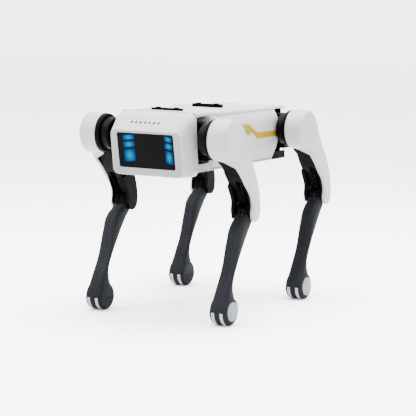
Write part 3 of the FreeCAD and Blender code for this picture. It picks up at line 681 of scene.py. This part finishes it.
# (radius, depth below the top) of a plug in the deck, in millimetres, and where the plugs are.
PLUG = ((0.0, 0.0), (1.6, 0.0), (2.0, 0.5), (2.6, 0.5), (3.0, 0.0), (4.0, 0.0), (4.5, 1.5))
PLUG_OFFSETS = (18 * MM, 64 * MM, 449 * MM)
PLUG_X = 70 * MM
BOSS_X = 26 * MM
RAIL_HALF_WIDTH = 6.5 * MM


def deck_half_width(y):
    """Half width of the deck: drawn in over the hips."""
    half = DECK_HIGH[0]
    for waist_y in WAIST_MIDDLES:
        reach = min(1.0, abs(y - waist_y) / WAIST_REACH)
        half = min(half, DECK_HIGH[0] - WAIST_DEPTH * (1 - reach ** 2))
    return half


def deck_ring(y, top_z):
    """Cross section of the deck, with a fine groove along each side of its top."""
    half = deck_half_width(y)
    low_z = SEAM_Z - 0.5 * MM
    right = [(half, low_z), (half, top_z - DECK_EDGE)]
    for step in range(1, DECK_EDGE_STEPS + 1):
        angle = math.radians(90.0 * step / DECK_EDGE_STEPS)
        x = half - DECK_EDGE + DECK_EDGE * math.cos(angle)
        right.append((x, top_z - DECK_EDGE + DECK_EDGE * math.sin(angle)))
    right += [(half - 26 * MM, top_z + 0.3 * MM), (half - 26.8 * MM, top_z - 0.5 * MM),
              (half - 27.6 * MM, top_z + 0.4 * MM), (half * 0.3, top_z + 0.9 * MM)]
    left = [(-x, z) for x, z in reversed(right)]
    inner_x = half - DECK_WALL
    inner_z = SEAM_Z + 1 * MM
    inner = [(-inner_x, low_z), (-inner_x, inner_z), (inner_x, inner_z), (inner_x, low_z)]
    return [(x, y, z) for x, z in right + left + inner]


def deck_top(y):
    """Height of the deck along the body."""
    part = (y - DECK_LOW[1]) / (DECK_HIGH[1] - DECK_LOW[1])
    return DECK_HIGH[2] - DECK_TOP_GAP - DECK_FALL * part


def build_deck():
    """White deck over the whole body."""
    rings = []
    first = DECK_LOW[1] - DECK_FRONT_EXTRA
    for step in range(DECK_STEPS + 1):
        y = first + (DECK_HIGH[1] - first) * step / DECK_STEPS
        rings.append(deck_ring(y, deck_top(y)))
    make_piece("deck", *loft(rings), WHITE, "torso", ["body_top_cover"], "white_shell")


def panel_ring(y, side):
    """Cross section of a side panel: it bulges, and less so near the panel's ends."""
    front = min(1.0, (y - PANEL_LOW[1]) / PANEL_FRONT_LENGTH)
    rear = min(1.0, (PANEL_HIGH[1] - y) / PANEL_REAR_LENGTH)
    front_part = 1 - (1 - front) ** PANEL_FRONT_POWER
    rear_part = 1 - PANEL_REAR_LOSS + PANEL_REAR_LOSS * math.sqrt(1 - (1 - rear) ** 2)
    bulge = (PANEL_HIGH[0] - PANEL_LEAST_X) * (front_part * rear_part)
    top_z = SEAM_Z - PANEL_GAP
    low_z = BELLY_Z + PANEL_GAP
    knots = [
        (104.5 * MM, top_z),
        (PANEL_LEAST_X + bulge * 0.78, 478 * MM),
        (PANEL_LEAST_X + bulge, 448 * MM),
        (PANEL_LEAST_X + bulge * 0.74, 408 * MM),
        (102 * MM, low_z),
    ]
    curve = [tuple(point) for point in smooth_path(knots, PANEL_CURVE_STEPS)]
    points = [(PANEL_LIP_X, top_z)] + curve + [(PANEL_LIP_X, low_z)]
    return [(side * x, y, z) for x, z in points]


def build_side_panels():
    """White side shells with drawn-in front corners."""
    low_y, high_y = PANEL_LOW[1], PANEL_HIGH[1]
    for side, name in SIDES:
        rings = []
        for step in range(PANEL_STEPS + 1):
            rings.append(panel_ring(low_y + (high_y - PANEL_REAR_LENGTH - low_y) * step / PANEL_STEPS, side))
        for step in range(1, PANEL_REAR_STEPS + 1):
            from_end = PANEL_REAR_LENGTH * (1 - math.sin(math.radians(90 / PANEL_REAR_STEPS * step)))
            rings.append(panel_ring(high_y - from_end, side))
        make_piece("side_shell_" + name, *loft(rings), WHITE, "torso", ["side_panel_" + name], "white_shell")


def panel_surface(y, z, side):
    """X of the side panel's outer face at a place."""
    ring = panel_ring(y, side)[1:-1]
    for a, b in zip(ring, ring[1:]):
        if min(a[2], b[2]) <= z <= max(a[2], b[2]):
            part = (z - a[2]) / (b[2] - a[2])
            return a[0] + part * (b[0] - a[0])
    return ring[0][0]


def inlay(name, outline, side, lift, material, slot, replaced=()):
    """Thin patch that follows the side panel, between two edges given as matching (Y, Z) points."""
    points = []
    faces = []
    for low, high in outline:
        for row in range(INLAY_ROWS + 1):
            y = low[0] + (high[0] - low[0]) * row / INLAY_ROWS
            z = low[1] + (high[1] - low[1]) * row / INLAY_ROWS
            points.append((panel_surface(y, z, side) + side * lift, y, z))
    for column in range(len(outline) - 1):
        for row in range(INLAY_ROWS):
            a = column * (INLAY_ROWS + 1) + row
            faces.append((a, a + 1, a + INLAY_ROWS + 2, a + INLAY_ROWS + 1))
    piece = make_piece(name, points, faces, material, "torso", replaced, slot)
    thick = piece.modifiers.new("thickness", "SOLIDIFY")
    thick.thickness = INLAY_THICKNESS
    thick.offset = 0.0


def edges_from(start_y, edges):
    """Edge points of a mark in metres, from a table in millimetres behind a start."""
    return [tuple((start_y + y * MM, z * MM) for y, z in pair) for pair in edges]


def between(start, end, part):
    """Point a part of the way from one 2-D point to another."""
    return start[0] + (end[0] - start[0]) * part, start[1] + (end[1] - start[1]) * part


def stretch(pairs, steps=10):
    """More columns between matching edge points."""
    result = []
    for (low_a, high_a), (low_b, high_b) in zip(pairs, pairs[1:]):
        for step in range(steps):
            result.append((between(low_a, low_b, step / steps), between(high_a, high_b, step / steps)))
    result.append(pairs[-1])
    return result


def build_stripes():
    """Yellow band with a falling link, a plain four-sided badge and a dark end."""
    start = FRONT_HIP_Y + 200 * MM
    tip = edges_from(PANEL_HIGH[1] - 12 * MM, BAND_EDGES)
    band = edges_from(start, LINK_EDGES) + tip[:1]
    badge = edges_from(start, BADGE_EDGES)
    for side, name in SIDES:
        replaced = ["side_stripes"] if side > 0 else ()
        inlay("stripe_" + name, stretch(band), side, 0.2 * MM, YELLOW, "yellow_stripe", replaced)
        inlay("badge_" + name, stretch(badge), side, 0.3 * MM, YELLOW, "yellow_stripe")
        inlay("stripe_end_" + name, stretch(tip), side, 0.25 * MM, INK, "black_structure")


def build_tray_and_tail():
    """Floor of the body and the plate behind the rear hips."""
    low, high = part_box("belly_tray")
    tray = rounded_block((low[0], low[1] - 2 * MM, low[2]), (high[0], high[1], low[2] + 4 * MM), 1.5 * MM)
    finish_piece("belly_floor", tray, WHITE, "torso", ["belly_tray"])
    for side, label in SIDES:
        ends = sorted((side * high[0], side * (high[0] - 4 * MM)))
        wall_low = (ends[0], low[1], low[2] + 0.2 * MM)
        wall_high = (ends[1], PANEL_LOW[1] - 0.5 * MM, high[2])
        wall = rounded_block(wall_low, wall_high, 1 * MM)
        finish_piece("belly_wall_" + label, wall, WHITE, "torso", ())
    plate = rounded_block(*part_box("rear_cover"), 2.4 * MM)
    finish_piece("tail_plate", plate, BLACK, "torso", ["rear_cover"])


def build_rails():
    """Dark payload rails with two raised, tapped bosses each, and the deck's plugs."""
    for name in ("payload_rail_front", "payload_rail_rear"):
        low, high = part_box(name)
        top_z = high[2]
        middle_y = (low[1] + high[1]) / 2
        bar_top = top_z - 2 * MM
        bar_low = (low[0], middle_y - RAIL_HALF_WIDTH, deck_top(middle_y) - 1.5 * MM)
        bar_high = (high[0], middle_y + RAIL_HALF_WIDTH, bar_top)
        bar = rounded_block(bar_low, bar_high, 0.9 * MM)
        finish_piece(name + "_bar", bar, BLACK, "torso", [name])
        profile = [(2.1 * MM, bar_top - 4 * MM), (2.1 * MM, top_z - 0.4 * MM), (2.6 * MM, top_z),
                   (6.4 * MM, top_z), (7.0 * MM, top_z - 0.6 * MM), (7.4 * MM, bar_top - 1 * MM)]
        for side, label in SIDES:
            boss = lathe(profile, (side * BOSS_X, middle_y), "Z", steps=40)
            make_piece(name + "_boss_" + label, *boss, BLACK, "torso", (), "black_structure")
    for index, offset in enumerate(PLUG_OFFSETS):
        y = FRONT_HIP_Y + offset
        top_z = deck_top(y) + 0.8 * MM
        profile = [(radius * MM, top_z - depth * MM) for radius, depth in PLUG]
        for side, label in SIDES:
            plug = lathe(profile, (side * PLUG_X, y), "Z", steps=28)
            replaced = ["top_plugs"] if index == 0 and side > 0 else ()
            make_piece("plug_" + str(index) + "_" + label, *plug, INK, "torso", replaced, "black_structure")


# ---------------------------------------------------------------- head
CORNER_STEPS = 8
FACE_TILT = math.radians(10.3)
FACE_Y = FRONT_HIP_Y - 65.2 * MM
FACE_Z = centre("display_panel")[2]
# Sections of the head from rear to front, in millimetres: top Y, top Z, bottom Y, bottom Z, half width and
# corner radius. Y is counted from the front hips for the shell. For the rim of the face it is counted from
# the brow at the top and from the chin at the bottom.
SHELL_SECTIONS = [
    (-6, 506, 8, 359, 102, 14), (-6.5, 510, 8, 355.9, 105.6, 17), (-8, 510.6, 6.5, 355.5, 106, 17),
    (-28, 505.2, -20, 355.5, 106, 17), (-33, 503, -24, 355.5, 105.6, 17), (-38, 499, -28, 355.6, 105, 17),
    (-66.5, 472, -49, 356.2, 100.4, 16),
]
RIM_SECTIONS = [
    (2.2, 467.6, -0.2, 357.2, 99.4, 16), (1.0, 466.2, -1.2, 358.6, 98.6, 16),
    (0.6, 464.6, -1.6, 360.2, 97.2, 15),
]
BACK_SECTIONS = [(-8, 506, 6, 359, 102, 14), (-12, 506, 2, 359, 102, 14)]
BROW_Y = HEAD_LOW[1] + 0.6 * MM
CHIN_Y = FRONT_HIP_Y - 52.8 * MM
# Half sizes of the opening and of the glass in it, and (depth, growth) of the opening's edges.
OPENING_HALF = (79.7 * MM, 43.7 * MM)
OPENING_EDGES = ((1.1 * MM, 0.5 * MM), (1.3 * MM, 0.0), (6.0 * MM, 0.0))
GLASS_HALF = (79.5 * MM, 43.5 * MM)
GLASS_EDGES = ((1.3 * MM, 0.994, 0.99), (1.8 * MM, 1, 1), (7 * MM, 1, 1))  # depth, width part, height part
DISPLAY_CORNER = 5 * MM
# Lit blocks: their rows as (low, high), and their columns as (name, inner edge, outer edge).
LIGHT_ROWS = ((28.5 * MM, 41.0 * MM), (10.0 * MM, 24.5 * MM), (-25.5 * MM, 5.0 * MM))
LIGHT_COLUMNS = (("right", -31.0 * MM, -62.5 * MM), ("left", 55.0 * MM, 75.0 * MM))
LIGHT_DROP = 5.0 * MM
LIGHT_DEPTHS = (0.95 * MM, 1.45 * MM)
MARK_COUNT = 7
MARK_PITCH = 12.6 * MM
MARK_SHIFT = -10.0 * MM
MARK_LEAN = 0.3
MARK_LIFTS = (0.35 * MM, -1.5 * MM)


def head_ring(section, top_from, bottom_from):
    """Rounded rectangle of a section, leaning with the line between its top and its bottom."""
    top_y, top_z, bottom_y, bottom_z, half_width, radius = (value * MM for value in section)
    top_y += top_from
    bottom_y += bottom_from
    ring = []
    for across, up in rounded_rectangle(half_width, bottom_z, top_z, radius, CORNER_STEPS):
        part = (up - bottom_z) / (top_z - bottom_z)
        ring.append((across, bottom_y + part * (top_y - bottom_y), up))
    return ring


def face_point(across, depth, up):
    """Place on the tilted face, from the middle of the display."""
    y = FACE_Y + depth * math.cos(FACE_TILT) - up * math.sin(FACE_TILT)
    z = FACE_Z + depth * math.sin(FACE_TILT) + up * math.cos(FACE_TILT)
    return across, y, z


def build_head():
    """White head: rounded shell, slanted corners, sloping brow and a face with an opening for the display."""
    shell = [head_ring(section, FRONT_HIP_Y, FRONT_HIP_Y) for section in SHELL_SECTIONS]
    rim = [head_ring(section, BROW_Y, CHIN_Y) for section in RIM_SECTIONS]
    opening = []
    for depth, growth in OPENING_EDGES:
        half_width, half_height = (half + growth for half in OPENING_HALF)
        edge = rounded_rectangle(half_width, -half_height, half_height, DISPLAY_CORNER, CORNER_STEPS)
        opening.append([face_point(across, depth, up) for across, up in edge])
    points, faces = loft(shell + rim[:2], cap_start=False, cap_end=False)
    make_piece("head_skin", points, faces, WHITE, "torso", ["head_shell"], "white_shell")
    # The face frame takes the darker copy of the white: painted shade on the downward-tilted face.
    points, faces = loft(rim[1:] + opening, cap_start=False, cap_end=False)
    make_piece("face_frame", points, faces, SHADED_FACE_WHITE, "torso", (), "white_shell")
    back = [head_ring(section, FRONT_HIP_Y, FRONT_HIP_Y) for section in BACK_SECTIONS]
    make_piece("head_back", *loft(back), BLACK, "torso", (), "black_structure")


def build_display():
    """Glossy black panel with six lit blocks."""
    half_width, half_height = GLASS_HALF
    edge = rounded_rectangle(half_width, -half_height, half_height, DISPLAY_CORNER, CORNER_STEPS)
    rings = []
    for depth, width_part, height_part in GLASS_EDGES:
        rings.append([face_point(across * width_part, depth, up * height_part) for across, up in edge])
    make_piece("display_glass", *loft(rings), GLASS, "torso", ["display_panel"], "display_glass")
    for column, inner, outer in LIGHT_COLUMNS:
        width = abs(outer - inner)
        for index, (low, high) in enumerate(LIGHT_ROWS):
            outline = []
            for across, up in rounded_rectangle(width / 2, low, high, 1.5 * MM, 4):
                place = across + (inner + outer) / 2
                outline.append((place, up - LIGHT_DROP * abs(place - inner) / width))
            rings = [[face_point(across, depth, up) for across, up in outline] for depth in LIGHT_DEPTHS]
            replaced = ["display_lights"] if (column, index) == ("right", 0) else ()
            make_piece("light_" + column + "_" + str(index), *loft(rings), GLOW, "torso", replaced,
                       "display_light", smooth=False)


def build_brow_marks():
    """Row of plain slanted pills on the brow."""
    top, low = (Vector((0, FRONT_HIP_Y + y * MM, z * MM)) for y, z, *_ in SHELL_SECTIONS[-2:])
    along = (low - top).normalized()
    normal = Vector((0, along[2], -along[1]))
    middle = top.lerp(low, 0.5) + Vector((MARK_SHIFT, 0, 0))
    pill = rounded_rectangle(2.7 * MM, -3.6 * MM, 3.6 * MM, 2.4 * MM, 4)
    for index in range(MARK_COUNT):
        centre_x = (index - MARK_COUNT // 2) * MARK_PITCH
        rings = []
        for lift in MARK_LIFTS:
            ring = []
            for across, up in pill:
                slanted = Vector((centre_x + across + MARK_LEAN * up, 0, 0))
                ring.append(tuple(middle + slanted - along * up + normal * lift))
            rings.append(ring)
        make_piece("brow_mark_" + str(index), *loft(rings), INK, "torso", (), "black_structure", smooth=False)


# ---------------------------------------------------------------- stage
FLOOR_HALF = 14.0
LIGHT_AIM = Vector((0.0, 0.0, 0.28))
CAMERA_AZIMUTH = math.radians(29.89)
CAMERA_ELEVATION = math.radians(7.69)
CAMERA_ROLL = math.radians(0.65)
CAMERA_TARGET = Vector((-2.9 * MM, 9.65 * MM, 245.7 * MM))
CAMERA_DISTANCE = 3.978


def add_light(name, place, size, power):
    """Square soft light that faces the robot."""
    light = bpy.data.lights.new(name, "AREA")
    light.energy = power
    light.size = size
    lamp = bpy.data.objects.new(name, light)
    lamp.location = place
    aim = LIGHT_AIM - Vector(place)
    lamp.rotation_euler = aim.to_track_quat("-Z", "Y").to_euler()
    bpy.context.collection.objects.link(lamp)


def build_stage():
    """Pale floor, white surroundings and soft light."""
    size = FLOOR_HALF
    corners = [(-size, -size, 0), (size, -size, 0), (size, size, 0), (-size, size, 0)]
    floor = bpy.data.objects.new("floor", mesh_of("floor", corners, [(0, 1, 2, 3)]))
    bpy.context.collection.objects.link(floor)
    paint = moulded("floor_paint", grey(0.93), grey(0.95), (0.6, 0.7), 50.0, 0.01)
    floor.data.materials.append(paint)
    world = bpy.data.worlds.new("studio")
    bpy.context.scene.world = world
    world.use_nodes = True
    background = world.node_tree.nodes["Background"]
    background.inputs["Color"].default_value = (1.0, 1.0, 1.0, 1.0)
    background.inputs["Strength"].default_value = 4.5
    add_light("key", (-1.6, -1.2, 3.2), 1.6, 160.0)
    add_light("top", (0.2, 0.3, 2.6), 1.6, 300.0)


def build_camera():
    """Long-lens camera to the robot's left front, a little above it."""
    level = math.cos(CAMERA_ELEVATION)
    height = math.sin(CAMERA_ELEVATION)
    back = Vector((math.sin(CAMERA_AZIMUTH) * level, -math.cos(CAMERA_AZIMUTH) * level, height))
    right = Vector((math.cos(CAMERA_AZIMUTH), math.sin(CAMERA_AZIMUTH), 0.0))
    up = back.cross(right)
    rolled_right = math.cos(CAMERA_ROLL) * right + math.sin(CAMERA_ROLL) * up
    rolled_up = -math.sin(CAMERA_ROLL) * right + math.cos(CAMERA_ROLL) * up
    turned = Matrix((rolled_right, rolled_up, back)).transposed().to_4x4()
    data = bpy.data.cameras.new("camera")
    data.lens = 132.8
    data.sensor_width = 36.0
    camera = bpy.data.objects.new("camera", data)
    camera.matrix_world = Matrix.Translation(CAMERA_TARGET + back * CAMERA_DISTANCE) @ turned
    bpy.context.collection.objects.link(camera)
    bpy.context.scene.camera = camera


dress_cad_nodes()
build_thigh_covers()
build_shins()
build_feet()
build_deck()
build_side_panels()
build_stripes()
build_tray_and_tail()
build_rails()
build_head()
build_display()
build_brow_marks()
build_stage()
build_camera()

bpy.context.view_layer.update()
